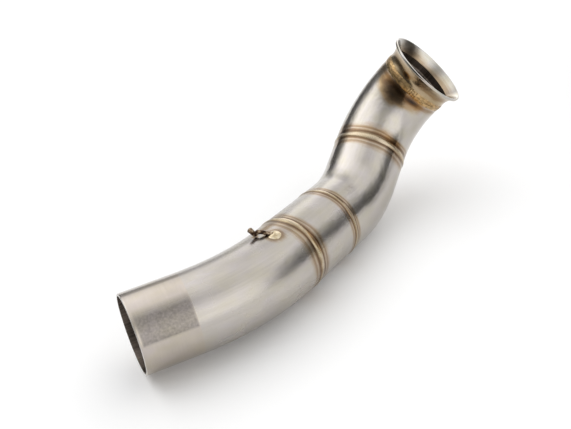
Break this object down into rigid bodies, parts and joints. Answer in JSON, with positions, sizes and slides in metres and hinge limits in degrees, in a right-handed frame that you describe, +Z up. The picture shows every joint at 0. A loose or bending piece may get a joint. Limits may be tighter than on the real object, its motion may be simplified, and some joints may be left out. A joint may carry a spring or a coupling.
{
  "type": "motorcycle exhaust header",
  "caption": "Bent steel exhaust pipe with butt welded elbows, a flared clamp collar, a plain slip end and a spring hook.",
  "frame": {"origin": "centre of the slip end's mouth", "axes": "+X into the slip end along its bore, +Z up from the floor as the pipe lies at rest, +Y to the side that the lower bend turns towards"},
  "size_m": [0.3026, 0.1606, 0.1213],
  "materials": {
    "tube": "satin stainless steel with brushed grain and heat tints by the welds",
    "collar": "turned and polished stainless steel",
    "weld": "rippled weld bead with straw heat tint",
    "hook": "scorched bare steel rod"
  },
  "bodies": {
    "root": {"lower_bend": "tube", "centre_tube": "tube", "middle_elbow": "tube", "upper_elbow": "tube", "upper_elbow_end": "tube", "flared_collar": "collar", "weld_lower": "weld", "weld_centre": "weld", "weld_upper": "weld", "weld_collar": "weld", "spring_hook": "hook", "hook_weld": "weld"}
  },
  "joints": []
}
